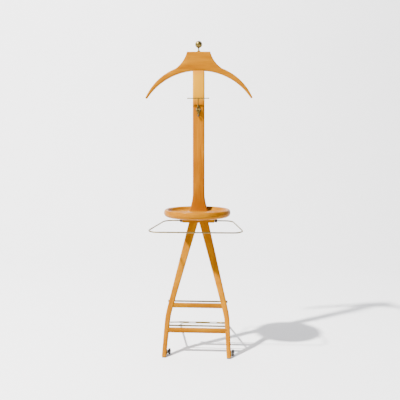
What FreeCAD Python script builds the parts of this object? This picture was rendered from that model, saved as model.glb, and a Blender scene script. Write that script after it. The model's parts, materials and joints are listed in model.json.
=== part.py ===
import FreeCAD, Part
import math
import os

import Sketcher
from FreeCAD import Placement, Rotation, Vector

# Valet stand: a round-topped hanger on a flared column, a dished tray, a swinging trouser bar,
# two forward-swept legs joined by shoe rungs, and a bent rod that props the stand from behind.
# Millimetres. +Z up, +X to the stand's right, -Y to the front. The origin is on the floor,
# midway between the front of the trouser bar and the back of the rear prop.

SIZES = [
    # hanger and finial
    ("hanger_top", 1126), ("hanger_crown", 1056), ("hanger_flat", 43.5), ("hanger_thick", 24),
    ("shoulder_x", 88), ("shoulder_z", 1064), ("shoulder_radius", 107),
    ("tip_x", 202), ("tip_z", 957), ("tip_width", 6.5), ("arm_top_radius", 207), ("arm_under_radius", 230),
    ("tenon_wide", 24), ("tenon_thick", 12), ("tenon_tall", 32), ("fit_gap", 0.05),
    ("ball_radius", 13.5), ("ball_z", 1153), ("neck_radius", 3.5), ("collar_radius", 6), ("collar_tall", 3),
    # column and tray
    ("column_wide", 44), ("column_thick", 26), ("flare_wide", 72), ("flare_start", 601),
    ("flare_radius", 135), ("tray_radius", 122.5), ("tray_base_radius", 104), ("tray_floor_radius", 106),
    ("tray_under", 515), ("tray_floor", 529), ("tray_rim", 543), ("tray_forward", 84), ("lip_radius", 5),
    ("tray_bulge_z", 531), ("block_wide", 122), ("block_deep", 56), ("block_tall", 30),
    # legs, seen from the front and from the side
    ("leg_top_in", 2), ("leg_top_out", 37), ("leg_knee_in", 101.5), ("leg_knee_out", 121),
    ("leg_foot_in", 111), ("leg_foot_out", 127.5), ("knee_z", 135), ("leg_bottom", 3),
    ("leg_top_deep", 26), ("leg_knee_deep", 22), ("leg_foot_deep", 18),
    ("knee_forward", 84), ("foot_forward", 140), ("pad_deep", 15), ("pad_wide", 14),
    # rungs and shoe rods
    ("rung_tall", 17), ("rung_deep", 17), ("upper_rung_z", 178), ("lower_rung_z", 91),
    ("upper_rung_half", 106), ("lower_rung_half", 112),
    ("shoe_rod_radius", 3), ("shoe_rod_rise", 11), ("upper_rod_half", 108), ("lower_rod_half", 114), ("cap_radius", 4.6), ("cap_long", 9),
    # trouser bar
    ("bar_radius", 2.5), ("bar_axis_z", 491), ("bar_axis_forward", 8), ("bar_pin_start", 62),
    ("bar_elbow_x", 128), ("bar_corner_x", 174), ("bar_reach", 200), ("bar_drop", 17),
    ("bar_elbow_radius", 34), ("bar_corner_radius", 32),
    ("eye_radius", 6.5), ("eye_wide", 10), ("running_gap", 0.06),
    # tie bar
    ("tie_pivot_z", 912), ("tie_out", 15), ("tie_rise", 40), ("tie_half", 39), ("tie_radius", 1.8),
    ("tie_plate_wide", 18), ("tie_plate_tall", 36), ("tie_plate_thick", 3), ("ear_thick", 3), ("ear_gap", 7),
    ("ear_radius", 5.5), ("tie_pin_radius", 1.6), ("knob_radius", 4.2),
    # wheels and rear prop
    ("wheel_radius", 11), ("wheel_wide", 8), ("wheel_lift", 1), ("wheel_behind", 26), ("wheel_space", 0.5),
    ("axle_radius", 2), ("arm_thick", 3), ("arm_tall", 9),
    ("prop_radius", 3.5), ("prop_top_z", 110), ("prop_half", 103), ("prop_reach", 286), ("prop_bend", 34),
    ("sleeve_radius", 4.5), ("sleeve_long", 30), ("screw_radius", 1.8), ("screw_head", 3.6),
]

doc = FreeCAD.newDocument("valet_stand")
sheet = doc.addObject("Spreadsheet::Sheet", "Sizes")
for row, (alias, number) in enumerate(SIZES, 1):
    sheet.set(f"A{row}", alias)
    sheet.set(f"B{row}", str(number))
    sheet.setAlias(f"B{row}", alias)
doc.recompute()

SIZE = {alias: float(number) for alias, number in SIZES}
ABOUT_X = Rotation(Vector(1, 0, 0), 90)
ABOUT_Y = Rotation(Vector(0, 1, 0), 90)
NO_TURN = Rotation()

# Depth of the column's middle, so that the whole stand is centred on Y = 0.
COLUMN_Y = "((Sizes.bar_reach + Sizes.bar_axis_forward + Sizes.bar_radius" \
           " - Sizes.prop_reach - Sizes.sleeve_radius) / 2)"


def worked_out(expression):
    """The number that an expression of the sheet's sizes stands for."""
    return float(sheet.evalExpression(expression))


def bind(thing, **expressions):
    """Drive a thing's properties by expressions; x, y and z place it."""
    for name, expression in expressions.items():
        path = f"Placement.Base.{name}" if name in ("x", "y", "z") else name
        thing.setExpression(path, expression)
    return thing


def primitive(kind, label, turn=NO_TURN, **expressions):
    thing = doc.addObject(f"Part::{kind}", label)
    thing.Placement = Placement(Vector(), turn)
    return bind(thing, **expressions)


def box(label, wide, deep, tall, x, y, z):
    """A box centred on x and y, with its underside at z."""
    return primitive("Box", label, Length=wide, Width=deep, Height=tall,
                     x=f"{x} - ({wide}) / 2", y=f"{y} - ({deep}) / 2", z=z)


def cylinder(label, radius, long, x, y, z, turn=NO_TURN):
    return primitive("Cylinder", label, turn, Radius=radius, Height=long, x=x, y=y, z=z)


def join(kind, label, first, second):
    thing = doc.addObject(f"Part::{kind}", label)
    thing.Base, thing.Tool = first, second
    return thing


def gather(label, pieces, kind="Compound"):
    thing = doc.addObject("Part::" + ("Compound" if kind == "Compound" else "MultiFuse"), label)
    if kind == "Compound":
        thing.Links = pieces
    else:
        thing.Shapes = pieces
    return thing


def mirror_x(label, source):
    thing = doc.addObject("Part::Mirroring", label)
    thing.Source = source
    thing.Normal = Vector(1, 0, 0)
    return thing


def outline(sketch, corners, arcs=None):
    """Draw a closed outline whose corners are pairs of expressions; arcs gives the radius of
    the side that starts at a corner, positive to bulge to the left of its direction."""
    arcs = arcs or {}
    points = [Vector(worked_out(a), worked_out(b), 0) for a, b in corners]
    count = len(points)
    for index, start in enumerate(points):
        end = points[(index + 1) % count]
        if index in arcs:
            radius, side = worked_out(arcs[index][0]), arcs[index][1]
            half = (end - start) * 0.5
            rise = radius - math.sqrt(radius ** 2 - half.Length ** 2)
            normal = Vector(-half.y, half.x, 0).normalize()
            middle = start + half + normal * rise * side
            sketch.addGeometry(Part.Arc(start, middle, end), False)
        else:
            sketch.addGeometry(Part.LineSegment(start, end), False)

    def ends(index):
        """Which end of a side is its start: an arc always runs anticlockwise."""
        clockwise = index in arcs and arcs[index][1] > 0
        return (2, 1) if clockwise else (1, 2)

    for index in range(count):
        following = (index + 1) % count
        sketch.addConstraint(Sketcher.Constraint("Coincident", index, ends(index)[1],
                                                 following, ends(following)[0]))
    for index, (across, up) in enumerate(corners):
        for kind, expression in (("DistanceX", across), ("DistanceY", up)):
            number = sketch.addConstraint(Sketcher.Constraint(
                kind, -1, 1, index, ends(index)[0], worked_out(expression)))
            sketch.setExpression(f"Constraints[{number}]", expression)
        if index in arcs:
            number = sketch.addConstraint(Sketcher.Constraint("Radius", index, worked_out(arcs[index][0])))
            sketch.setExpression(f"Constraints[{number}]", arcs[index][0])


def body_sketch(body, name, plane):
    sketch = body.newObject("Sketcher::SketchObject", name)
    origin_plane = [item for item in body.Origin.OriginFeatures if item.Role == plane][0]
    sketch.AttachmentSupport = [(origin_plane, "")]
    sketch.MapMode = "FlatFace"
    return sketch


def padded_body(label, corners, arcs, thickness, middle_y):
    """A board: an outline in the XZ plane, padded both ways about middle_y."""
    body = doc.addObject("PartDesign::Body", label)
    sketch = body_sketch(body, label + "_outline", "XZ_Plane")
    outline(sketch, corners, arcs)
    pad = body.newObject("PartDesign::Pad", label + "_pad")
    pad.Profile = sketch
    pad.setExpression("Length", thickness)
    pad.Midplane = True
    body.Tip = pad
    bind(body, y=middle_y)
    return body


def slab(label, corners, arcs, thickness, turn, **place):
    """A loose outline pushed both ways along its normal."""
    sketch = doc.addObject("Sketcher::SketchObject", label + "_outline")
    sketch.Placement = Placement(Vector(), turn)
    outline(sketch, corners, arcs)
    bind(sketch, **place)
    thing = doc.addObject("Part::Extrusion", label)
    thing.Base = sketch
    thing.DirMode = "Normal"
    thing.Solid = True
    thing.Symmetric = True
    thing.setExpression("LengthFwd", thickness)
    return thing


def mirrored_outline(half):
    """Complete an outline whose right half runs from the middle to the middle."""
    other = [(f"-({across})", up) for across, up in reversed(half) if across != "0"]
    return half + other


def rod(label, points, bends, radius):
    """A round rod through points, with a tangent arc of the given radius at each inner point."""
    edges = []
    last = points[0]
    for before, corner, after, bend in zip(points, points[1:], points[2:], bends):
        arrive = (corner - before).normalize()
        leave = (after - corner).normalize()
        half_turn = arrive.getAngle(leave) / 2
        reach = bend * math.tan(half_turn)
        start, end = corner - arrive * reach, corner + leave * reach
        inward = (leave - arrive).normalize()
        middle = corner + inward * (bend / math.cos(half_turn) - bend)
        edges += [Part.LineSegment(last, start).toShape(), Part.Arc(start, middle, end).toShape()]
        last = end
    edges.append(Part.LineSegment(last, points[-1]).toShape())
    path = Part.Wire(edges)
    circle = Part.Circle(points[0], points[1] - points[0], radius).toShape()
    shape = path.makePipeShell([Part.Wire(circle)], True, False)
    feature = doc.addObject("Part::Feature", label)
    feature.Shape = shape
    print(f"{label}: volume over section times length "
          f"{shape.Volume / (math.pi * radius ** 2 * path.Length):.4f}")
    return feature


# --- Hanger, finial and column -------------------------------------------------------------

hanger_half = [
    ("Sizes.hanger_flat", "Sizes.hanger_top"),
    ("Sizes.shoulder_x", "Sizes.shoulder_z"),
    ("Sizes.tip_x", "Sizes.tip_z"),
    ("Sizes.tip_x - Sizes.tip_width", "Sizes.tip_z - Sizes.tip_width / 2"),
    ("0", "Sizes.hanger_crown"),
]
hanger_corners = mirrored_outline(hanger_half)
hanger_arcs = {
    0: ("Sizes.shoulder_radius", -1), 1: ("Sizes.arm_top_radius", 1), 3: ("Sizes.arm_under_radius", -1),
    4: ("Sizes.arm_under_radius", -1), 6: ("Sizes.arm_top_radius", 1), 7: ("Sizes.shoulder_radius", -1),
}
hanger_board = padded_body("hanger_board", hanger_corners, hanger_arcs, "Sizes.hanger_thick", COLUMN_Y)
mortise = box("hanger_mortise", "Sizes.tenon_wide + 2 * Sizes.fit_gap", "Sizes.tenon_thick + 2 * Sizes.fit_gap",
              "Sizes.tenon_tall + 10", "0", COLUMN_Y, "Sizes.hanger_crown - 9")
hanger_cut = join("Cut", "hanger_mortised", hanger_board, mortise)
stud_hole = cylinder("stud_hole", "Sizes.neck_radius", "30", "0", COLUMN_Y, "Sizes.hanger_top - 22")
hanger = join("Cut", "hanger", hanger_cut, stud_hole)

finial_ball = primitive("Sphere", "finial_sphere", Radius="Sizes.ball_radius", x="0", y=COLUMN_Y,
                        z="Sizes.ball_z")
finial_neck = cylinder("finial_neck", "Sizes.neck_radius", "Sizes.ball_z - Sizes.hanger_top + 20",
                       "0", COLUMN_Y, "Sizes.hanger_top - 20")
finial = gather("finial", [finial_ball, finial_neck], "fuse")
collar_disc = cylinder("collar_disc", "Sizes.collar_radius", "Sizes.collar_tall", "0", COLUMN_Y,
                       "Sizes.hanger_top")
collar_hole = cylinder("collar_hole", "Sizes.neck_radius", "Sizes.collar_tall + 2", "0", COLUMN_Y,
                       "Sizes.hanger_top - 1")
finial_collar = join("Cut", "finial_collar", collar_disc, collar_hole)

column_half = [
    ("Sizes.flare_wide / 2", "Sizes.tray_floor"),
    ("Sizes.column_wide / 2", "Sizes.flare_start"),
    ("Sizes.column_wide / 2", "Sizes.hanger_crown - 1.2"),
    ("Sizes.tenon_wide / 2", "Sizes.hanger_crown - 1.2"),
    ("Sizes.tenon_wide / 2", "Sizes.hanger_crown + Sizes.tenon_tall - 2"),
]
column_corners = mirrored_outline(column_half)
column_board = padded_body("column_board", column_corners,
                           {0: ("Sizes.flare_radius", 1), 8: ("Sizes.flare_radius", 1)},
                           "Sizes.column_thick", COLUMN_Y)
tenon_front = box("tenon_front", "60", "Sizes.column_thick", "60", "0",
                  f"{COLUMN_Y} - (Sizes.column_thick + Sizes.tenon_thick) / 2", "Sizes.hanger_crown - 1.2")
tenon_back = box("tenon_back", "60", "Sizes.column_thick", "60", "0",
                 f"{COLUMN_Y} + (Sizes.column_thick + Sizes.tenon_thick) / 2", "Sizes.hanger_crown - 1.2")
column = join("Cut", "column", column_board, gather("tenon_cheeks", [tenon_front, tenon_back]))

# --- Tray and the block under it -----------------------------------------------------------

TRAY_Y = f"({COLUMN_Y} - Sizes.tray_forward)"
tray = doc.addObject("PartDesign::Body", "tray_dish")
tray_sketch = body_sketch(tray, "tray_section", "XZ_Plane")
outline(tray_sketch, [
    ("0", "Sizes.tray_under"),
    ("Sizes.tray_base_radius", "Sizes.tray_under"),
    ("Sizes.tray_radius", "Sizes.tray_bulge_z"),
    ("Sizes.tray_radius - 2", "Sizes.tray_rim"),
    ("Sizes.tray_radius - 2 - Sizes.lip_radius", "Sizes.tray_rim"),
    ("Sizes.tray_floor_radius", "Sizes.tray_floor"),
    ("0", "Sizes.tray_floor"),
], {1: ("26", -1)})
tray_turn = tray.newObject("PartDesign::Revolution", "tray_turn")
tray_turn.Profile = tray_sketch
tray_turn.ReferenceAxis = (tray_sketch, ["V_Axis"])
tray_turn.Angle = 360
tray.Tip = tray_turn
bind(tray, y=TRAY_Y)
column_seat = box("column_seat", "Sizes.flare_wide + 0.2", "Sizes.column_thick + 0.2", "40", "0", COLUMN_Y,
                  "Sizes.tray_floor")
tray_seated = join("Cut", "tray", tray, column_seat)

leg_block = box("leg_block", "Sizes.block_wide", "Sizes.block_deep", "Sizes.block_tall", "0", COLUMN_Y,
                "Sizes.tray_under - Sizes.block_tall")

# --- Legs ----------------------------------------------------------------------------------

LEG_TOP = "(Sizes.tray_under - Sizes.block_tall)"
leg_front = slab("leg_front", [
    ("Sizes.leg_top_in", LEG_TOP),
    ("Sizes.leg_knee_in", "Sizes.knee_z"),
    ("Sizes.leg_foot_in", "Sizes.leg_bottom"),
    ("Sizes.leg_foot_out", "Sizes.leg_bottom"),
    ("Sizes.leg_knee_out", "Sizes.knee_z"),
    ("Sizes.leg_top_out", LEG_TOP),
], {}, "800", ABOUT_X)
leg_side = slab("leg_side", [
    (f"{COLUMN_Y} - Sizes.leg_top_deep / 2", LEG_TOP),
    (f"{COLUMN_Y} - Sizes.knee_forward - Sizes.leg_knee_deep / 2", "Sizes.knee_z"),
    (f"{COLUMN_Y} - Sizes.foot_forward - Sizes.leg_foot_deep / 2", "Sizes.leg_bottom"),
    (f"{COLUMN_Y} - Sizes.foot_forward + Sizes.leg_foot_deep / 2", "Sizes.leg_bottom"),
    (f"{COLUMN_Y} - Sizes.knee_forward + Sizes.leg_knee_deep / 2", "Sizes.knee_z"),
    (f"{COLUMN_Y} + Sizes.leg_top_deep / 2", LEG_TOP),
], {}, "800", Rotation(Vector(0, 0, 1), 90) * ABOUT_X)
right_leg = join("Common", "right_leg", leg_front, leg_side)
left_leg = mirror_x("left_leg", right_leg)
both_legs = gather("both_legs", [left_leg, right_leg])

UPPER_LEG_SLOPE = f"(Sizes.knee_forward / ({LEG_TOP} - Sizes.knee_z))"
LOWER_LEG_SLOPE = "((Sizes.foot_forward - Sizes.knee_forward) / (Sizes.knee_z - Sizes.leg_bottom))"


def leg_y(height):
    """The depth of a leg's middle at a height, above or below the knee."""
    if worked_out(height) > SIZE["knee_z"]:
        return f"({COLUMN_Y} - ({LEG_TOP} - ({height})) * {UPPER_LEG_SLOPE})"
    return f"({COLUMN_Y} - Sizes.knee_forward - (Sizes.knee_z - ({height})) * {LOWER_LEG_SLOPE})"


pads = []
for side in ("-1", "1"):
    pads.append(box("pad" + side.replace("-", "_"), "Sizes.pad_wide", "Sizes.pad_deep", "Sizes.leg_bottom",
                    f"{side} * (Sizes.leg_foot_in + Sizes.leg_foot_out) / 2",
                    f"{COLUMN_Y} - Sizes.foot_forward", "0"))
foot_pads = gather("foot_pads", pads)

# --- Rungs and shoe rods -------------------------------------------------------------------

kept = [hanger, finial, finial_collar, column, tray_seated, leg_block, left_leg, right_leg, foot_pads]
for level in ("upper", "lower"):
    rung_z = f"Sizes.{level}_rung_z"
    bar = box(f"{level}_rung_bar", f"2 * Sizes.{level}_rung_half", "Sizes.rung_deep", "Sizes.rung_tall",
              "0", leg_y(rung_z), f"{rung_z} - Sizes.rung_tall / 2")
    kept.append(join("Cut", f"{level}_rung", bar, both_legs))

    rod_z = f"({rung_z} + Sizes.shoe_rod_rise)"
    rod_y = f"({leg_y(rod_z)} + Sizes.leg_knee_deep / 2 + Sizes.shoe_rod_radius + 2)"
    half = f"Sizes.{level}_rod_half"
    kept.append(cylinder(f"{level}_shoe_rod", "Sizes.shoe_rod_radius", f"2 * {half}", f"-{half}", rod_y, rod_z,
                         ABOUT_Y))
    caps = [cylinder(f"{level}_cap{side.replace('-', '_')}", "Sizes.cap_radius", "Sizes.cap_long",
                     f"{side} * {half} - Sizes.cap_long / 2", rod_y, rod_z, ABOUT_Y) for side in ("-1", "1")]
    socket = cylinder(f"{level}_cap_socket", "Sizes.shoe_rod_radius", f"2 * {half}", f"-{half}", rod_y, rod_z,
                      ABOUT_Y)
    kept.append(join("Cut", f"{level}_rod_caps", gather(f"{level}_caps", caps), socket))

    clips = []
    for side in ("-1", "1"):
        clip_x = f"{side} * (Sizes.{level}_rung_half - 5)"
        clips.append(cylinder(f"{level}_clip{side.replace('-', '_')}", "Sizes.screw_radius",
                              "14", clip_x, rod_y, rod_z, Rotation(Vector(1, 0, 0), 90)))
    clip_group = join("Cut", f"{level}_clips_bare", gather(f"{level}_clips_all", clips), both_legs)
    kept.append(join("Cut", f"{level}_rod_studs", clip_group, kept[-2]))

# --- Trouser bar and its brackets ----------------------------------------------------------

AXIS_Y = f"({COLUMN_Y} - Sizes.bar_axis_forward)"
axis_y, axis_z = worked_out(AXIS_Y), SIZE["bar_axis_z"]
front_y = axis_y - SIZE["bar_reach"]
front_z = axis_z - SIZE["bar_drop"]
right_half = [
    Vector(SIZE["bar_pin_start"], axis_y, axis_z),
    Vector(SIZE["bar_elbow_x"], axis_y, axis_z),
    Vector(SIZE["bar_corner_x"], front_y, front_z),
]
left_half = [Vector(-point.x, point.y, point.z) for point in reversed(right_half)]
bends = [SIZE["bar_elbow_radius"], SIZE["bar_corner_radius"]]
trouser_bar = rod("trouser_bar", right_half + left_half, bends + bends[::-1], SIZE["bar_radius"])
kept.append(trouser_bar)

EYE_MIDDLE = "(Sizes.block_wide / 2 + Sizes.eye_wide / 2 + 0.5)"
for name, side in (("left", "-1"), ("right", "1")):
    eye_x = f"{side} * {EYE_MIDDLE} - Sizes.eye_wide / 2"
    eye = cylinder(f"{name}_eye", "Sizes.eye_radius", "Sizes.eye_wide", eye_x, AXIS_Y, "Sizes.bar_axis_z",
                   ABOUT_Y)
    flange = box(f"{name}_flange", "Sizes.eye_wide", "2 * Sizes.eye_radius + 14", "3",
                 f"{side} * {EYE_MIDDLE}", AXIS_Y, "Sizes.tray_under - 3")
    stem = box(f"{name}_stem", "Sizes.eye_wide", "Sizes.eye_radius * 1.4",
               "Sizes.tray_under - Sizes.bar_axis_z - 1", f"{side} * {EYE_MIDDLE}", AXIS_Y, "Sizes.bar_axis_z")
    bore = cylinder(f"{name}_bore", "Sizes.bar_radius + Sizes.running_gap", "Sizes.eye_wide + 4",
                    f"{eye_x} - 2", AXIS_Y, "Sizes.bar_axis_z", ABOUT_Y)
    kept.append(join("Cut", f"{name}_bar_bracket",
                     gather(f"{name}_bracket_blank", [eye, flange, stem], "fuse"), bore))

bracket_screws = []
for side in ("-1", "1"):
    for way in ("-1", "1"):
        bracket_screws.append(cylinder(
            f"bracket_screw{side}{way}".replace("-", "_"), "Sizes.screw_head", "1.6",
            f"{side} * {EYE_MIDDLE}", f"{AXIS_Y} + {way} * (Sizes.eye_radius + 3.4)", "Sizes.tray_under - 4.6"))
kept.append(gather("bracket_screws", bracket_screws))

# --- Tie bar -------------------------------------------------------------------------------

FACE_Y = f"({COLUMN_Y} - Sizes.column_thick / 2)"
PIVOT_Y = f"({FACE_Y} - Sizes.tie_out)"
plate = box("tie_plate", "Sizes.tie_plate_wide", "Sizes.tie_plate_thick", "Sizes.tie_plate_tall", "0",
            f"{FACE_Y} - Sizes.tie_plate_thick / 2", "Sizes.tie_pivot_z - Sizes.tie_plate_tall * 0.6")
ears = []
for side in ("-1", "1"):
    middle = f"{side} * (Sizes.ear_gap + Sizes.ear_thick) / 2"
    ears.append(cylinder(f"ear_round{side}".replace("-", "_"), "Sizes.ear_radius", "Sizes.ear_thick",
                         f"{middle} - Sizes.ear_thick / 2", PIVOT_Y, "Sizes.tie_pivot_z", ABOUT_Y))
    ears.append(box(f"ear_arm{side}".replace("-", "_"), "Sizes.ear_thick", "Sizes.tie_out - 1",
                    "2 * Sizes.ear_radius", middle, f"{FACE_Y} - (Sizes.tie_out + 1) / 2",
                    "Sizes.tie_pivot_z - Sizes.ear_radius"))
pin_hole = cylinder("tie_pin_hole", "Sizes.tie_pin_radius", "30", "-15", PIVOT_Y, "Sizes.tie_pivot_z", ABOUT_Y)
kept.append(join("Cut", "tie_bracket", gather("tie_bracket_blank", [plate] + ears, "fuse"), pin_hole))

pin_long = "(Sizes.ear_gap + 2 * Sizes.ear_thick + 3)"
kept.append(cylinder("tie_pin", "Sizes.tie_pin_radius", pin_long, f"-{pin_long} / 2", PIVOT_Y,
                     "Sizes.tie_pivot_z", ABOUT_Y))
eye = cylinder("tie_eye", "Sizes.ear_radius - 0.8", "Sizes.ear_gap - 0.8", "-(Sizes.ear_gap - 0.8) / 2",
               PIVOT_Y, "Sizes.tie_pivot_z", ABOUT_Y)
stem = cylinder("tie_stem", "Sizes.tie_radius", "Sizes.tie_rise", "0", PIVOT_Y, "Sizes.tie_pivot_z")
cross = cylinder("tie_cross", "Sizes.tie_radius", "2 * Sizes.tie_half", "-Sizes.tie_half", PIVOT_Y,
                 "Sizes.tie_pivot_z + Sizes.tie_rise", ABOUT_Y)
balls = []
for side in ("-1", "1"):
    balls.append(primitive("Sphere", f"tie_ball{side}".replace("-", "_"), Radius="Sizes.tie_radius * 1.35",
                           x=f"{side} * Sizes.tie_half", y=PIVOT_Y, z="Sizes.tie_pivot_z + Sizes.tie_rise"))
eye_hole = cylinder("tie_eye_hole", "Sizes.tie_pin_radius + Sizes.running_gap", "30", "-15", PIVOT_Y,
                    "Sizes.tie_pivot_z", ABOUT_Y)
kept.append(join("Cut", "tie_bar", gather("tie_bar_blank", [eye, stem, cross] + balls, "fuse"), eye_hole))

knob_z = "Sizes.tie_pivot_z - Sizes.tie_plate_tall * 0.6 - Sizes.knob_radius * 0.5"
knob_ball = primitive("Sphere", "knob_ball", Radius="Sizes.knob_radius", x="0",
                      y=f"{FACE_Y} - Sizes.knob_radius - 3", z=knob_z)
knob_shank = cylinder("knob_shank", "Sizes.screw_radius", "Sizes.knob_radius + 3", "0", FACE_Y, knob_z,
                      Rotation(Vector(1, 0, 0), 90))
knob_whole = gather("knob_whole", [knob_ball, knob_shank], "fuse")
kept.append(join("Cut", "hook_knob", knob_whole, kept[-3]))
plate_screws = []
for step in ("9.5", "-17"):
    plate_screws.append(cylinder(f"plate_screw_{len(plate_screws)}", "2.4", "1.2", "0",
                                 f"{FACE_Y} - Sizes.tie_plate_thick",
                                 f"Sizes.tie_pivot_z + {step}",
                                 Rotation(Vector(1, 0, 0), 90)))
kept.append(gather("plate_screws", plate_screws))

# --- Wheels --------------------------------------------------------------------------------

# Each wheel trails behind its foot on an arm at the right-hand side of the leg.
WHEEL_Z = "(Sizes.wheel_radius + Sizes.wheel_lift)"
WHEEL_Y = f"({leg_y(WHEEL_Z)} + Sizes.wheel_behind)"
LEG_SIDES = {
    "left": f"(-Sizes.leg_foot_in + ({WHEEL_Z} - Sizes.leg_bottom) * (Sizes.leg_foot_in - Sizes.leg_knee_in)"
            " / (Sizes.knee_z - Sizes.leg_bottom))",
    "right": f"(Sizes.leg_foot_out - ({WHEEL_Z} - Sizes.leg_bottom) * (Sizes.leg_foot_out"
             " - Sizes.leg_knee_out) / (Sizes.knee_z - Sizes.leg_bottom))",
}
for name, leg in (("left", left_leg), ("right", right_leg)):
    face = LEG_SIDES[name]
    inner_side = f"({face} + Sizes.arm_thick + Sizes.wheel_space)"
    tyre = cylinder(f"{name}_tyre", "Sizes.wheel_radius", "Sizes.wheel_wide", inner_side, WHEEL_Y, WHEEL_Z,
                    ABOUT_Y)
    hole = cylinder(f"{name}_wheel_hole", "Sizes.axle_radius + Sizes.running_gap", "Sizes.wheel_wide + 4",
                    f"{inner_side} - 2", WHEEL_Y, WHEEL_Z, ABOUT_Y)
    kept.append(join("Cut", f"{name}_wheel", tyre, hole))
    axle_shank = cylinder(f"{name}_axle_shank", "Sizes.axle_radius",
                          "Sizes.arm_thick + Sizes.wheel_wide + 2 * Sizes.wheel_space", face, WHEEL_Y, WHEEL_Z,
                          ABOUT_Y)
    axle_head = cylinder(f"{name}_axle_head", "Sizes.screw_head", "1.5",
                         f"{inner_side} + Sizes.wheel_wide + Sizes.wheel_space", WHEEL_Y, WHEEL_Z, ABOUT_Y)
    kept.append(gather(f"{name}_axle", [axle_shank, axle_head], "fuse"))
    arm_plate = box(f"{name}_arm_plate", "Sizes.arm_thick + 3", "Sizes.wheel_behind + 4", "Sizes.arm_tall",
                    f"({face} + (Sizes.arm_thick - 3) / 2)", f"{WHEEL_Y} - Sizes.wheel_behind / 2 + 2.5",
                    f"{WHEEL_Z} - Sizes.arm_tall / 2")
    arm_hole = cylinder(f"{name}_arm_hole", "Sizes.axle_radius", "30", f"{face} - 15", WHEEL_Y, WHEEL_Z,
                        ABOUT_Y)
    arm_bored = join("Cut", f"{name}_arm_bored", arm_plate, arm_hole)
    kept.append(join("Cut", f"{name}_wheel_arm", arm_bored, leg))

# --- Rear prop and its sleeves -------------------------------------------------------------

prop_y = worked_out(f"{leg_y('Sizes.prop_top_z')} + Sizes.leg_knee_deep / 2 - 1")
prop_x = worked_out("(Sizes.leg_knee_in + Sizes.leg_knee_out) / 2 + 1.5")
floor_z = SIZE["sleeve_radius"]
back_y = worked_out(f"{COLUMN_Y} + Sizes.prop_reach")
prop_right = [Vector(prop_x, prop_y - 6, SIZE["prop_top_z"]), Vector(prop_x, prop_y + 14, SIZE["prop_top_z"]),
              Vector(SIZE["prop_half"], back_y, floor_z)]
prop_left = [Vector(-point.x, point.y, point.z) for point in reversed(prop_right)]
prop_bends = [SIZE["prop_bend"], SIZE["prop_bend"]]
prop_rod = rod("prop_rod", prop_right + prop_left, prop_bends + prop_bends[::-1], SIZE["prop_radius"])
kept.append(join("Cut", "rear_prop", prop_rod, both_legs))
sleeves = []
for side in ("-1", "1"):
    sleeves.append(cylinder(f"sleeve{side}".replace("-", "_"), "Sizes.sleeve_radius", "Sizes.sleeve_long",
                            f"{side} * Sizes.prop_half * 0.45 - Sizes.sleeve_long / 2",
                            f"{COLUMN_Y} + Sizes.prop_reach", "Sizes.sleeve_radius", ABOUT_Y))
kept.append(join("Cut", "prop_sleeves", gather("sleeves_solid", sleeves), prop_rod))

# --- Screws and bolts that hold the wood together ------------------------------------------

bolt_shafts = [cylinder(f"column_bolt_{index}", "2.5", "48", f"{x}", COLUMN_Y, "Sizes.tray_under - 13")
               for index, x in enumerate((-20, 20))]
kept.append(gather("column_bolts", bolt_shafts))
dowels = [cylinder(f"leg_dowel_{index}", "4", "24", f"{x}", COLUMN_Y, f"{LEG_TOP} - 14")
          for index, x in enumerate((-22, 22))]
kept.append(gather("leg_dowels", dowels))
hanger_pins = [cylinder(f"hanger_pin_{index}", "2.5", "Sizes.hanger_thick", f"{x}",
                        f"{COLUMN_Y} + Sizes.hanger_thick / 2", "Sizes.hanger_crown + 15",
                        Rotation(Vector(1, 0, 0), 90)) for index, x in enumerate((-7, 7))]
kept.append(gather("hanger_pins", hanger_pins))

doc.recompute()

# --- Checks and files ----------------------------------------------------------------------

for thing in doc.Objects:
    if "Invalid" in thing.State or "Error" in thing.State:
        raise SystemExit(f"{thing.Label} failed: {thing.State}")
for thing in kept:
    if thing.Shape.isNull() or not thing.Shape.isValid() or not thing.Shape.Solids:
        raise SystemExit(f"{thing.Label} has no sound shape")

os.makedirs("parts", exist_ok=True)
whole = FreeCAD.BoundBox()
for thing in kept:
    thing.Shape.exportStep(f"parts/{thing.Label}.step")
    whole.add(thing.Shape.BoundBox)
    print(f"{thing.Label}: {len(thing.Shape.Solids)} solid(s), {thing.Shape.Volume / 1000:.2f} cm3")
print(f"nodes {len(kept)}; X {whole.XMin:.2f} {whole.XMax:.2f}; Y {whole.YMin:.2f} {whole.YMax:.2f}; "
      f"Z {whole.ZMin:.2f} {whole.ZMax:.2f}")
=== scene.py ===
import json
import math

import bmesh
import bpy
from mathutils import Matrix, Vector


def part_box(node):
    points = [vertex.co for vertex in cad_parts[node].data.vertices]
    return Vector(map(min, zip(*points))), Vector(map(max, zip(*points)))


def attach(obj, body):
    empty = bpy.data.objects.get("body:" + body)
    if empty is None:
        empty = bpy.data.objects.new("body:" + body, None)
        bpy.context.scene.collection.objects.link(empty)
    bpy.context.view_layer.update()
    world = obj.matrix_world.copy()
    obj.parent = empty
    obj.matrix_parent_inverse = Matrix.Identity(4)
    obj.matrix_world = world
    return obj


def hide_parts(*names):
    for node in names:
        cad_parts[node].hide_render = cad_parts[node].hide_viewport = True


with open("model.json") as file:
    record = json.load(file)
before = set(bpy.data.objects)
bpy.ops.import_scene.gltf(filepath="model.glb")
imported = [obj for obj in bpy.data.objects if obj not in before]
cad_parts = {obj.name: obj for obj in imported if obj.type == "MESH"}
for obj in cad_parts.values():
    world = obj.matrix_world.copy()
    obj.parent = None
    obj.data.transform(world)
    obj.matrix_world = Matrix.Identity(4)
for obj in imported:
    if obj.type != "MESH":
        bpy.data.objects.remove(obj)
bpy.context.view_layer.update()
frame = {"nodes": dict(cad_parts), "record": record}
NODES = frame["nodes"]


# --- Materials -----------------------------------------------------------------------------

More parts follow.
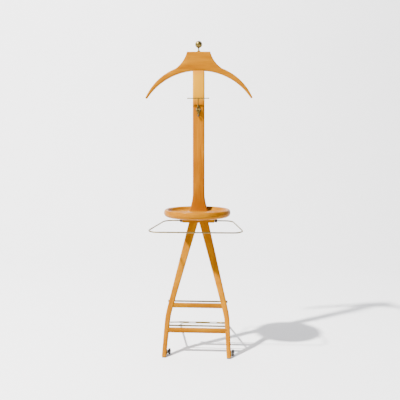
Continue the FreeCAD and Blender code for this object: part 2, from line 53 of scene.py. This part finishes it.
def new_material(name):
    material = bpy.data.materials.new(name)
    material.use_nodes = True
    tree = material.node_tree
    tree.nodes.clear()
    output = tree.nodes.new("ShaderNodeOutputMaterial")
    shader = tree.nodes.new("ShaderNodeBsdfPrincipled")
    tree.links.new(shader.outputs[0], output.inputs[0])
    return material, tree, shader


def coordinates(tree, stretch, turn=(0, 0, 0)):
    """Object coordinates, turned and then stretched: small numbers draw the pattern out."""
    place = tree.nodes.new("ShaderNodeTexCoord")
    rotate = tree.nodes.new("ShaderNodeMapping")
    rotate.inputs["Rotation"].default_value = turn
    scale = tree.nodes.new("ShaderNodeMapping")
    scale.inputs["Scale"].default_value = stretch
    tree.links.new(place.outputs["Object"], rotate.inputs[0])
    tree.links.new(rotate.outputs[0], scale.inputs[0])
    return scale.outputs[0]


def noise(tree, vector, scale, detail=4.0, roughness=0.55, distortion=0.0):
    node = tree.nodes.new("ShaderNodeTexNoise")
    node.inputs["Scale"].default_value = scale
    node.inputs["Detail"].default_value = detail
    node.inputs["Roughness"].default_value = roughness
    node.inputs["Distortion"].default_value = distortion
    tree.links.new(vector, node.inputs["Vector"])
    return node.outputs["Fac"]


def ramp(tree, factor, stops):
    node = tree.nodes.new("ShaderNodeValToRGB")
    while len(node.color_ramp.elements) < len(stops):
        node.color_ramp.elements.new(0.5)
    for element, (position, colour) in zip(node.color_ramp.elements, stops):
        element.position = position
        element.color = (*colour, 1) if len(colour) == 3 else colour
    tree.links.new(factor, node.inputs[0])
    return node.outputs[0]


def mixed(tree, factor, first, second, blend="MIX"):
    node = tree.nodes.new("ShaderNodeMix")
    node.data_type = "RGBA"
    node.blend_type = blend
    for socket, value in ((node.inputs[0], factor), (node.inputs[6], first), (node.inputs[7], second)):
        if isinstance(value, bpy.types.NodeSocket):
            tree.links.new(value, socket)
        else:
            socket.default_value = value
    return node.outputs[2]


def bump(tree, shader, height, strength, distance):
    node = tree.nodes.new("ShaderNodeBump")
    node.inputs["Strength"].default_value = strength
    node.inputs["Distance"].default_value = distance
    tree.links.new(height, node.inputs["Height"])
    tree.links.new(node.outputs[0], shader.inputs["Normal"])


LACQUER_DEPTH = 0.46


def lacquered_beech(name, along, shade=1.0, turn=(0, 0, 0), red=0.0, painted_light_bands=()):
    """Beech under a honey lacquer, its grain drawn out along one axis.

    Each painted light band is a height, a blend height, a strength and the tint laid over the wood above it
    (below it when the blend height is negative). These are tones painted by height, partly the wood's own
    colour and partly painted light and shade.
    """
    material, tree, shader = new_material(name)
    fine = [1.0, 1.0, 1.0]
    fine["XYZ".index(along)] = 0.045
    grain_place = coordinates(tree, fine, turn)
    broad = [1.0, 1.0, 1.0]
    broad["XYZ".index(along)] = 0.16
    broad_place = coordinates(tree, broad, turn)
    streaks = noise(tree, grain_place, 260, 6, 0.62)
    bands = noise(tree, broad_place, 34, 3, 0.5, 0.8)
    flecks = noise(tree, grain_place, 900, 2, 0.5)

    def toned(colour):
        red_part, green, blue = colour
        depth = LACQUER_DEPTH * shade
        return (red_part * depth, green * depth * (1 - red), blue * depth)

    base = ramp(tree, bands, [(0.30, toned((0.46, 0.150, 0.0))), (0.52, toned((0.60, 0.225, 0.0))),
                              (0.72, toned((0.72, 0.30, 0.001)))])
    streaked = mixed(tree, ramp(tree, streaks, [(0.42, (0, 0, 0)), (0.66, (0.42, 0.42, 0.42))]),
                     base, (*toned((0.36, 0.10, 0.0)), 1))
    flecked = mixed(tree, ramp(tree, flecks, [(0.60, (0, 0, 0)), (0.74, (0.30, 0.30, 0.30))]),
                    streaked, (*toned((0.25, 0.055, 0.0)), 1))
    # Painted light and shade: each band lays a tint over the wood by height, partly standing for the wood's
    # own tone.
    for place, width, strength, tint in painted_light_bands:
        height = tree.nodes.new("ShaderNodeSeparateXYZ")
        tree.links.new(coordinates(tree, (1, 1, 1)), height.inputs[0])
        spread = tree.nodes.new("ShaderNodeMapRange")
        spread.interpolation_type = "SMOOTHSTEP"
        tree.links.new(height.outputs["Z"], spread.inputs["Value"])
        for socket, value in zip(("From Min", "From Max", "To Min", "To Max"),
                                 (place, place + width, 0.0, strength)):
            spread.inputs[socket].default_value = value
        flecked = mixed(tree, spread.outputs[0], flecked, (*tint, 1))
    tree.links.new(flecked, shader.inputs["Base Color"])
    tree.links.new(ramp(tree, bands, [(0.3, (0.30, 0.30, 0.30)), (0.7, (0.42, 0.42, 0.42))]),
                   shader.inputs["Roughness"])
    shader.inputs["Specular IOR Level"].default_value = 0.05
    shader.inputs["Specular Tint"].default_value = (1.0, 0.62, 0.16, 1)
    shader.inputs["Coat Weight"].default_value = 0.015
    shader.inputs["Coat Roughness"].default_value = 0.14
    bump(tree, shader, streaks, 0.10, 0.0006)
    return material


def metal(name, light, dark, roughness, patina_scale=40, brushed=None):
    material, tree, shader = new_material(name)
    shader.inputs["Metallic"].default_value = 1.0
    place = coordinates(tree, brushed or (1, 1, 1))
    patina = noise(tree, place, patina_scale, 5, 0.6)
    tree.links.new(ramp(tree, patina, [(0.35, light), (0.70, dark)]), shader.inputs["Base Color"])
    tree.links.new(ramp(tree, patina, [(0.3, (roughness,) * 3), (0.8, (roughness + 0.18,) * 3)]),
                   shader.inputs["Roughness"])
    bump(tree, shader, noise(tree, place, patina_scale * 12, 2), 0.06, 0.0003)
    return material


def dark_finish(name, light, dark, roughness, bump_strength, metallic=0.0):
    material, tree, shader = new_material(name)
    shader.inputs["Metallic"].default_value = metallic
    place = coordinates(tree, (1, 1, 1))
    mottle = noise(tree, place, 160, 4)
    tree.links.new(ramp(tree, mottle, [(0.35, dark), (0.70, light)]), shader.inputs["Base Color"])
    tree.links.new(ramp(tree, mottle, [(0.3, (roughness,) * 3), (0.8, (roughness + 0.15,) * 3)]),
                   shader.inputs["Roughness"])
    bump(tree, shader, noise(tree, place, 900, 3), bump_strength, 0.0003)
    return material


LEG_LEAN = math.atan2(0.091, 0.350)
WOODS = {
    "hanger": lacquered_beech("beech_hanger", "X", 1.0),
    # The column's painted light bands are partly painted light and partly the wood's tone: a redder foot
    # just above the tray, a brighter yellow stretch above the tie bar and a less bright, redder top.
    "column": lacquered_beech("beech_column", "Z", 1.0, red=0.10, painted_light_bands=[
        (0.60, -0.07, 0.55, (0.27, 0.072, 0.0)), (0.925, 0.045, 0.75, (0.46, 0.215, 0.0)),
        (1.035, 0.018, 0.6, (0.36, 0.12, 0.01))]),
    "tray": lacquered_beech("beech_tray", "X", 0.98),
    "leg_block": lacquered_beech("beech_block", "X", 0.95),
    "left_leg": lacquered_beech("beech_left_leg", "Z", 1.0, (0, -LEG_LEAN, 0)),
    "right_leg": lacquered_beech("beech_right_leg", "Z", 1.15, (0, LEG_LEAN, 0)),
    "upper_rung": lacquered_beech("beech_upper_rung", "X", 0.85),
    "lower_rung": lacquered_beech("beech_lower_rung", "X", 0.88),
    "leg_dowels": lacquered_beech("beech_dowels", "Z", 0.9),
    "hanger_pins": lacquered_beech("beech_pins", "Y", 0.85),
}
BRASS = metal("brass", (0.22, 0.155, 0.04), (0.07, 0.048, 0.014), 0.26)
STEEL = metal("steel", (0.55, 0.54, 0.52), (0.38, 0.37, 0.36), 0.30, brushed=(0.2, 1, 1))
BRONZE = dark_finish("dark_bronze", (0.10, 0.075, 0.05), (0.035, 0.025, 0.018), 0.34, 0.12, 0.8)
PLASTIC = dark_finish("dark_plastic", (0.045, 0.028, 0.018), (0.018, 0.011, 0.008), 0.28, 0.05)
RUBBER = dark_finish("dark_rubber", (0.05, 0.048, 0.045), (0.02, 0.02, 0.02), 0.62, 0.25)
GREY_RUBBER = dark_finish("grey_rubber", (0.46, 0.45, 0.43), (0.34, 0.33, 0.31), 0.6, 0.2)
BY_SLOT = {
    "brass": BRASS,
    "steel": STEEL,
    "dark_metal": BRONZE,
    "dark_plastic": PLASTIC,
    "dark_rubber": RUBBER,
    "grey_rubber": GREY_RUBBER,
}


for part in frame["record"]["subparts"]:
    name = part["node"]
    if name in NODES:
        node = NODES[name]
        material = WOODS.get(name) or BY_SLOT[part["material_slot"]]
        for slot in node.material_slots:
            slot.material = material
        if not node.material_slots:
            node.data.materials.append(material)


# --- Tools for making the finer pieces -------------------------------------------------------

STAND = "stand"


def low(node):
    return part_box(node)[0]


def high(node):
    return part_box(node)[1]


def middle(node):
    return (Vector(low(node)) + Vector(high(node))) / 2


def finish_piece(name, mesh_maker, material, body, replaced, smooth_angle=35):
    """Turn a bmesh into a piece that rides on a body and stands for CAD nodes."""
    bmesh.ops.remove_doubles(mesh_maker, verts=mesh_maker.verts, dist=1e-6)
    bmesh.ops.recalc_face_normals(mesh_maker, faces=mesh_maker.faces)
    mesh = bpy.data.meshes.new(name)
    mesh_maker.to_mesh(mesh)
    mesh_maker.free()
    mesh.shade_smooth()
    mesh.set_sharp_from_angle(angle=math.radians(smooth_angle))
    piece = bpy.data.objects.new(name, mesh)
    bpy.context.collection.objects.link(piece)
    mesh.materials.append(material)
    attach(piece, body)
    if replaced:
        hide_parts(*replaced)
    return piece


def add_rings(maker, rings, closed_ends=True):
    """Skin a row of equal rings of points, and close its two ends."""
    rows = [[maker.verts.new(point) for point in ring] for ring in rings]
    count = len(rows[0])
    for first, second in zip(rows, rows[1:]):
        for index in range(count):
            after = (index + 1) % count
            maker.faces.new((first[index], first[after], second[after], second[index]))
    if closed_ends:
        maker.faces.new(rows[0][::-1])
        maker.faces.new(rows[-1])


def rounded_ring(centre, across, along, half_across, half_along, radius, corner_steps=5):
    """A rounded rectangle about centre in the plane of two unit vectors."""
    radius = min(radius, half_across * 0.98, half_along * 0.98)
    points = []
    for quarter, (side_a, side_b) in enumerate(((1, 1), (-1, 1), (-1, -1), (1, -1))):
        for step in range(corner_steps + 1):
            angle = math.pi / 2 * (quarter + step / corner_steps)
            a = side_a * (half_across - radius) + radius * math.cos(angle)
            b = side_b * (half_along - radius) + radius * math.sin(angle)
            points.append(centre + across * a + along * b)
    return points


def lathe(maker, profile, centre, axis="Z", steps=72):
    """Turn a profile of (radius, height) pairs about an axis through centre."""
    rows = []
    for radius, height in profile:
        if radius < 1e-6:
            rows.append([maker.verts.new(centre + turned(0, 0, height, axis))])
            continue
        rows.append([maker.verts.new(centre + turned(radius, 2 * math.pi * step / steps, height, axis))
                     for step in range(steps)])
    for first, second in zip(rows, rows[1:]):
        for index in range(steps):
            after = (index + 1) % steps
            if len(first) == 1 and len(second) == 1:
                continue
            if len(first) == 1:
                maker.faces.new((first[0], second[after], second[index]))
            elif len(second) == 1:
                maker.faces.new((first[index], first[after], second[0]))
            else:
                maker.faces.new((first[index], first[after], second[after], second[index]))


def turned(radius, angle, height, axis):
    a, b = radius * math.cos(angle), radius * math.sin(angle)
    return Vector({"Z": (a, b, height), "X": (height, a, b), "Y": (a, height, b)}[axis])


def flowing(points, steps=6):
    """A smooth line through given points (Catmull-Rom)."""
    line = []
    padded = [points[0]] + list(points) + [points[-1]]
    for before, start, end, after in zip(padded, padded[1:], padded[2:], padded[3:]):
        for step in range(steps):
            t = step / steps
            line.append(tuple(0.5 * (2 * q + (r - p) * t + (2 * p - 5 * q + 4 * r - w) * t * t
                                     + (3 * q - p - 3 * r + w) * t ** 3)
                              for p, q, r, w in zip(before, start, end, after)))
    line.append(tuple(points[-1]))
    return line


def arc_between(start, end, radius, side, fraction):
    """The point part-way along an arc; side 1 bulges to the left of its direction."""
    start, end = Vector(start), Vector(end)
    half = (end - start) / 2
    normal = Vector((-half.y, half.x)).normalized()
    centre = start + half - normal * side * math.sqrt(radius ** 2 - half.length ** 2)
    from_centre = start - centre
    sweep = -2 * side * math.asin(half.length / radius) * fraction
    turned_by = Vector((from_centre.x * math.cos(sweep) - from_centre.y * math.sin(sweep),
                        from_centre.x * math.sin(sweep) + from_centre.y * math.cos(sweep)))
    return centre + turned_by


# --- Wooden pieces ----------------------------------------------------------------------------

def make_hanger():
    """The shaped board: a flat crown, hollow shoulders and arms that thin towards their tips."""
    depth = middle("hanger").y
    half_thick = (high("hanger")[1] - low("hanger")[1]) / 2
    top, reach, tip_low = high("hanger")[2], high("hanger")[0], low("hanger")[2]
    neck_radius, arm_radius, under_radius, edge = 0.107, 0.207, 0.230, 0.0055
    tip_thinning = 0.35
    crown_flat = (0.0435, top)
    shoulder = (0.088, top - 0.062)
    tip_top = (reach, tip_low + 0.00325)
    tip_under = (reach - 0.0065, tip_low)
    crown_under = (0.0, top - 0.070)
    neck, spread = 0.2, 0.45  # parts of the way out where the crown and the shoulder end

    def upper(s):
        if s < neck:
            return Vector((crown_flat[0] * s / neck, top))
        if s < spread:
            return arc_between(crown_flat, shoulder, neck_radius, -1, (s - neck) / (spread - neck))
        return arc_between(shoulder, tip_top, arm_radius, 1, (s - spread) / (1 - spread))

    def under(s):
        way_at_neck, way_at_spread = 0.18, 0.36
        if s < neck:
            way = way_at_neck * s / neck
        elif s < spread:
            way = way_at_neck + (way_at_spread - way_at_neck) * (s - neck) / (spread - neck)
        else:
            way = way_at_spread + (1 - way_at_spread) * (s - spread) / (1 - spread)
        return arc_between(crown_under, tip_under, under_radius, 1, way)

    stations = [0, 0.07, 0.14, 0.18, 0.196, 0.2, 0.204, 0.22] + [0.25 + 0.025 * i for i in range(30)] + [1.0]
    rings = []
    for side in (-1, 1):
        run = stations[::-1] if side < 0 else stations[1:]
        for s in run:
            up, down = upper(s), under(s)
            centre = Vector((side * (up.x + down.x) / 2, depth, (up.y + down.y) / 2))
            rise = Vector((side * (up.x - down.x), 0, up.y - down.y))
            thin = 1 - tip_thinning * max(0.0, s - spread) / (1 - spread)
            rings.append(rounded_ring(centre, Vector((0, 1, 0)), rise.normalized(), half_thick * thin,
                                      rise.length / 2, edge))
    ends = []
    for ring, beside, sign in ((rings[0], rings[1], -1), (rings[-1], rings[-2], 1)):
        centre = sum(ring, Vector()) / len(ring)
        onward = (centre - sum(beside, Vector()) / len(beside)).normalized()
        ends.append([[centre + (point - centre) * shrink + onward * step for point in ring]
                     for shrink, step in ((0.86, 0.0009), (0.55, 0.0016))])
    rings = ends[0][::-1] + rings + ends[1]
    maker = bmesh.new()
    add_rings(maker, rings)
    finish_piece("hanger_shaped", maker, WOODS["hanger"], STAND, ["hanger", "hanger_pins"])


def make_column():
    """The flat column with softened edges and a flared foot. Its tenon, inside the hanger, isn't drawn."""
    centre = middle("column")
    half_deep = (high("column")[1] - low("column")[1]) / 2
    tenon_tall, edge = 0.0302, 0.0045
    foot, shoulder = low("column")[2], high("column")[2] - tenon_tall
    foot_half, half_wide, flare_tall = high("column")[0], 0.022, 0.072
    rings = []
    heights = [foot + flare_tall * step / 14 for step in range(15)]
    heights += [foot + 0.1, foot + 0.2, foot + 0.35, shoulder - 0.004, shoulder - 0.0012, shoulder]
    for height in heights:
        below = max(0.0, 1 - (height - foot) / flare_tall)
        half = half_wide + (foot_half - half_wide) * below ** 2
        pinch = 0.0 if height < shoulder - 0.003 else 0.0008 if height < shoulder else 0.0018
        rings.append(rounded_ring(Vector((0, centre.y, height)), Vector((1, 0, 0)), Vector((0, 1, 0)),
                                  half - pinch, half_deep - pinch, edge))
    maker = bmesh.new()
    add_rings(maker, rings)
    finish_piece("column_shaped", maker, WOODS["column"], STAND, ["column"])


def make_leg(name, side):
    """A leg that spreads and sweeps forward, with a soft knee and an oval-edged section."""
    top, knee, foot = high(name)[2], 0.135, low(name)[2]
    column_y = middle("column").y
    marks = [  # height, inner and outer half-spread, forward sweep, half depth
        (top, 0.002, 0.037, 0.0, 0.0130),
        (top - 0.12, 0.0372, 0.0662, 0.0288, 0.0124),
        (top - 0.24, 0.0715, 0.0950, 0.0576, 0.0116),
        (knee + 0.035, 0.0925, 0.1135, 0.0762, 0.0112),
        (knee, 0.1005, 0.1200, 0.0845, 0.0108),
        (knee - 0.035, 0.1043, 0.1226, 0.0985, 0.0104),
        (foot + 0.04, 0.1085, 0.1256, 0.1230, 0.0096),
        (foot, 0.1110, 0.1275, 0.1400, 0.0088),
    ]
    rings = []
    for height, inner, outer, forward, half_deep in flowing(marks, 5):
        centre = Vector((side * (inner + outer) / 2, column_y - forward, height))
        rings.append(rounded_ring(centre, Vector((1, 0, 0)), Vector((0, 1, 0)), (outer - inner) / 2,
                                  half_deep, 0.0048))
    foot_ring = rings[-1]
    centre = sum(foot_ring, Vector()) / len(foot_ring)
    rings[-1] = [centre + (point - centre) * 0.86 for point in foot_ring]
    rings.insert(-1, [point + Vector((0, 0, 0.0015)) for point in foot_ring])
    maker = bmesh.new()
    add_rings(maker, rings)
    finish_piece(name + "_shaped", maker, WOODS[name], STAND, [name])


def make_rung(name):
    """A rung bar with eased edges that runs into both legs."""
    lowest, highest = Vector(low(name)), Vector(high(name))
    centre = (lowest + highest) / 2
    half = (highest - lowest) / 2
    rings = [rounded_ring(Vector((x * half.x, centre.y, centre.z)), Vector((0, 1, 0)), Vector((0, 0, 1)),
                          half.y, half.z, 0.0042) for x in (-1, -0.5, 0, 0.5, 1)]
    maker = bmesh.new()
    add_rings(maker, rings)
    finish_piece(name + "_shaped", maker, WOODS[name], STAND, [name])


def make_tray():
    """The turned dish: a flat floor, a cove up to a fat rounded lip and a tucked-in foot."""
    under, rim = low("tray")[2], high("tray")[2]
    radius = (high("tray")[0] - low("tray")[0]) / 2
    centre = Vector((0, middle("tray").y, 0))
    floor = under + 0.014
    curve = flowing([
        (0.094, floor), (0.1010, floor + 0.0010), (0.1060, floor + 0.0055), (0.1088, floor + 0.0108),
        (0.1125, rim - 0.0004), (0.1168, rim), (0.1206, rim - 0.0035), (radius, rim - 0.0110),
        (0.1218, under + 0.0105), (0.1180, under + 0.0050), (0.1115, under + 0.0013), (0.1040, under),
    ], 5)
    profile = [(0, floor), (0.05, floor)] + curve + [(0.05, under), (0, under)]
    maker = bmesh.new()
    lathe(maker, profile, centre, steps=120)
    finish_piece("tray_turned", maker, WOODS["tray"], STAND, ["tray"])


make_hanger()
make_column()
make_leg("left_leg", -1)
make_leg("right_leg", 1)
make_rung("upper_rung")
make_rung("lower_rung")
make_tray()


# --- Brass and dark fittings -----------------------------------------------------------------

def make_finial():
    """A polished ball on a waisted neck with a small collar."""
    base = low("finial_collar")[2]
    ball_radius = (high("finial")[0] - low("finial")[0]) / 2
    ball_z = high("finial")[2] - ball_radius
    centre = Vector((0, middle("finial").y, 0))
    profile = []
    steps = 26
    for step in range(steps + 1):
        angle = math.radians(166) * step / steps
        profile.append((ball_radius * math.sin(angle), ball_z + ball_radius * math.cos(angle)))
    neck = flowing([(0.0033, ball_z - 0.0133), (0.0028, ball_z - 0.016), (0.0031, base + 0.0060),
                    (0.0040, base + 0.0038)], 4)
    collar = flowing([(0.0058, base + 0.0032), (0.0066, base + 0.0020), (0.0064, base + 0.0006),
                      (0.0060, base)], 3)
    maker = bmesh.new()
    lathe(maker, profile + neck + collar + [(0, base)], centre, steps=64)
    finish_piece("finial_turned", maker, BRASS, STAND, ["finial", "finial_collar"])


def make_wheel(name):
    """A wheel with a rounded tread, a recessed web and a raised hub."""
    lowest, highest = Vector(low(name)), Vector(high(name))
    centre = (lowest + highest) / 2
    radius, half = (highest.z - lowest.z) / 2, (highest.x - lowest.x) / 2
    bore, hub, web = 0.00206, radius * 0.42, radius * 0.70
    side = [(bore, half * 0.98), (hub, half * 0.98), (hub + 0.0005, half * 0.66), (web, half * 0.66),
            (web + 0.0006, half * 0.95)]
    tread = [(radius - 0.0018 + 0.0018 * math.cos(angle), half - 0.0018 + 0.0018 * math.sin(angle))
             for angle in (math.radians(degrees) for degrees in (90, 65, 40, 20, 0))]
    outer = side + tread
    profile = outer + [(r, -x) for r, x in reversed(outer)] + [outer[0]]
    maker = bmesh.new()
    lathe(maker, profile, centre, axis="X", steps=48)
    finish_piece(name + "_turned", maker, PLASTIC, name, [name])


def slotted_heads(name, places, axis, way, radius, rise, material):
    """Domed screw heads, each cut by a slot."""
    def offset(a, b, lift):
        return Vector({"Z": (a, b, way * rise * lift), "Y": (a, way * rise * lift, b)}[axis])

    maker = bmesh.new()
    slot_half = radius * 0.13
    steps = 24
    for place in places:
        for half_side in (-1, 1):
            start = math.asin(slot_half / radius)
            rim = [start + (math.pi - 2 * start) * step / steps for step in range(steps + 1)]
            levels = [(1.0, 0.0), (1.0, 0.35), (0.86, 0.70), (0.62, 0.92), (0.34, 1.0)]
            rows = []
            for scale, lift in levels:
                row = []
                for angle in rim:
                    a = radius * scale * math.cos(angle)
                    b = max(radius * scale * math.sin(angle), slot_half) * half_side
                    row.append(maker.verts.new(place + offset(a, b, lift)))
                rows.append(row)
            for first, second in zip(rows, rows[1:]):
                for index in range(steps):
                    maker.faces.new((first[index], first[index + 1], second[index + 1], second[index]))
                maker.faces.new((first[0], second[0], second[-1], first[-1]))
            maker.faces.new(rows[-1])
            maker.faces.new(rows[0][::-1])
        floor_ring = [2 * math.pi * step / steps for step in range(steps)]
        flat = []
        for angle in floor_ring:
            a, b = radius * 0.97 * math.cos(angle), radius * 0.97 * math.sin(angle)
            for lift in (0.02, 0.4):
                flat.append(maker.verts.new(place + offset(a, b, lift)))
        low_ring, top_ring = flat[0::2], flat[1::2]
        for index in range(steps):
            after = (index + 1) % steps
            maker.faces.new((low_ring[index], low_ring[after], top_ring[after], top_ring[index]))
        maker.faces.new(top_ring)
        maker.faces.new(low_ring[::-1])
    finish_piece(name + "_slotted", maker, material, STAND, [name])


def outline_slab(maker, outline, place, thickness, edge):
    """A shaped plate facing forward: an outline of (x, z) pairs with an eased front edge."""
    centre = Vector((sum(x for x, z in outline), sum(z for x, z in outline))) / len(outline)
    rings = []
    for back, inset in ((0.0, 0.0), (thickness - edge, 0.0), (thickness - edge * 0.3, edge * 0.45),
                        (thickness, edge)):
        ring = []
        for x, z in outline:
            outward = (Vector((x, z)) - centre)
            shrink = max(0.0, 1 - inset / max(outward.length, 1e-6))
            point = centre + outward * shrink
            ring.append(place + Vector((point.x, -back, point.y)))
        rings.append(ring)
    add_rings(maker, rings)


def make_tie_bracket():
    """A small cast plate with two lobes and a drawn-out tip, and two ears that hold the tie bar."""
    highest, lowest = Vector(high("tie_bracket")), Vector(low("tie_bracket"))
    face_y = highest.y
    pivot = middle("tie_pin")
    top, bottom = highest.z - pivot.z, lowest.z - pivot.z
    right = flowing([(0.0, top), (0.0038, top - 0.0010), (0.0058, top - 0.0045), (0.0046, top - 0.0085),
                     (0.0066, 0.0020), (0.0090, -0.0015), (0.0086, -0.0060), (0.0056, -0.0098),
                     (0.0040, -0.0135), (0.0044, -0.0170), (0.0026, bottom + 0.0012), (0.0, bottom)], 5)
    outline = right + [(-x, z) for x, z in reversed(right[1:-1])]
    maker = bmesh.new()
    outline_slab(maker, outline, Vector((0, face_y, pivot.z)), 0.003, 0.0012)
    ear_radius, ear_half = 0.0055, 0.0015
    reach = face_y - pivot.y
    for side in (-1, 1):
        ear = [(0.0, ear_radius), (0.0, -ear_radius)]
        ear += [(reach + ear_radius * math.sin(angle), -ear_radius * math.cos(angle))
                for angle in (math.pi * step / 14 for step in range(15))]
        rings = []
        for part, scale in ((-1, 0.9), (-0.6, 1.0), (0.6, 1.0), (1, 0.9)):
            across = ear_half * part
            rings.append([Vector((side * 0.005 + across, face_y - forward, pivot.z + up * scale))
                          for forward, up in ear])
        add_rings(maker, rings)
    finish_piece("tie_bracket_cast", maker, BRASS, STAND, ["tie_bracket"])


make_finial()
make_wheel("left_wheel")
make_wheel("right_wheel")
make_tie_bracket()


def make_bracket_screws():
    """Four steel heads facing down, two on each bracket."""
    radius, rise, sunk = 0.0036, 0.0016, 0.0002
    lowest, highest = low("bracket_screws"), high("bracket_screws")
    across = (lowest[0] + radius, highest[0] - radius)
    along = (lowest[1] + radius, highest[1] - radius)
    places = [Vector((x, y, highest[2] - sunk)) for x in across for y in along]
    slotted_heads("bracket_screws", places, "Z", -1, radius, rise, STEEL)


def make_plate_screws():
    """Two small brass heads, above and below the tie bar's pin."""
    radius, rise = 0.0024, 0.0012
    lowest, highest = low("plate_screws"), high("plate_screws")
    places = [Vector((0, highest[1], z)) for z in (lowest[2] + radius, highest[2] - radius)]
    slotted_heads("plate_screws", places, "Y", -1, radius, rise, BRASS)


make_bracket_screws()
make_plate_screws()


def soften(name, width, segments=3):
    """Ease the edges of a CAD part that is kept as it is."""
    node = NODES[name]
    weld = node.modifiers.new("weld", "WELD")
    weld.merge_threshold = 0.00002
    bevel = node.modifiers.new("edges", "BEVEL")
    bevel.width = width
    bevel.segments = segments
    bevel.limit_method = "ANGLE"
    bevel.angle_limit = math.radians(28)


soften("leg_block", 0.003)
for name in ("upper_rod_caps", "lower_rod_caps"):
    soften(name, 0.0014)
for name in ("left_wheel_arm", "right_wheel_arm", "left_bar_bracket", "right_bar_bracket"):
    soften(name, 0.0006, 2)


# --- Floor, light and camera ----------------------------------------------------------------

def paper(name, colour):
    material, tree, shader = new_material(name)
    place = coordinates(tree, (1, 1, 1))
    tone = noise(tree, place, 3, 2)
    darker = tuple(channel * 0.985 for channel in colour)
    tree.links.new(ramp(tree, tone, [(0.3, colour), (0.7, darker)]), shader.inputs["Base Color"])
    shader.inputs["Roughness"].default_value = 0.9
    return material


def backdrop():
    """A floor that curves up into a wall far behind the stand."""
    half_width, front, back, height, curve = 9.0, -6.0, 3.2, 6.0, 1.6
    profile = [(front, 0.0)]
    steps = 16
    for step in range(steps + 1):
        angle = math.pi / 2 * step / steps
        profile.append((back - curve + curve * math.sin(angle), curve - curve * math.cos(angle)))
    profile.append((back, height))
    mesh = bpy.data.meshes.new("backdrop")
    vertices = [(side * half_width, y, z) for y, z in profile for side in (-1, 1)]
    faces = [(2 * i, 2 * i + 1, 2 * i + 3, 2 * i + 2) for i in range(len(profile) - 1)]
    mesh.from_pydata(vertices, [], faces)
    for face in mesh.polygons:
        face.use_smooth = True
    thing = bpy.data.objects.new("backdrop", mesh)
    bpy.context.collection.objects.link(thing)
    mesh.materials.append(paper("pale_paper", (0.84, 0.85, 0.875)))


def area_light(name, place, target, size, power, colour=(1, 1, 1)):
    data = bpy.data.lights.new(name, "AREA")
    data.shape = "DISK"
    data.size = size
    data.energy = power
    data.color = colour
    light = bpy.data.objects.new(name, data)
    light.location = place
    light.rotation_euler = (Vector(target) - Vector(place)).to_track_quat("-Z", "Y").to_euler()
    bpy.context.collection.objects.link(light)


def camera():
    """Eye level near the stand's middle, turned a few degrees to its right."""
    distance, turn, eye_height = 2.3, math.radians(3.5), 0.779
    aim_shift, ahead, look_down = 0.004, 0.015, math.radians(5.2376)
    data = bpy.data.cameras.new("camera")
    data.sensor_width = 36
    data.lens = 54
    eye = bpy.data.objects.new("camera", data)
    eye.location = (distance * math.sin(turn) + aim_shift,
                    middle("column").y + ahead - distance * math.cos(turn), eye_height)
    eye.rotation_euler = (math.pi / 2 - look_down, 0, turn)
    bpy.context.collection.objects.link(eye)
    bpy.context.scene.camera = eye


def sky(colour, strength):
    world = bpy.data.worlds.new("world")
    bpy.context.scene.world = world
    world.use_nodes = True
    background = world.node_tree.nodes["Background"]
    background.inputs[0].default_value = (*colour, 1)
    background.inputs[1].default_value = strength


LIGHT_FROM = Vector((-0.68, -0.54, 1.0))
LIGHT_RANGE = 5.6
AIM = Vector((0, 0, 0.5))

backdrop()
area_light("key", AIM + LIGHT_FROM * LIGHT_RANGE, AIM, 0.34, 3000, (1, 0.97, 0.93))
area_light("fill", (1.6, -3.6, 2.2), (0, 0, 0.6), 3.5, 14)
area_light("top", (0, 0.6, 4.8), (0, 0, 0), 4.0, 26)
sky((0.90, 0.93, 1.0), 0.40)
camera()
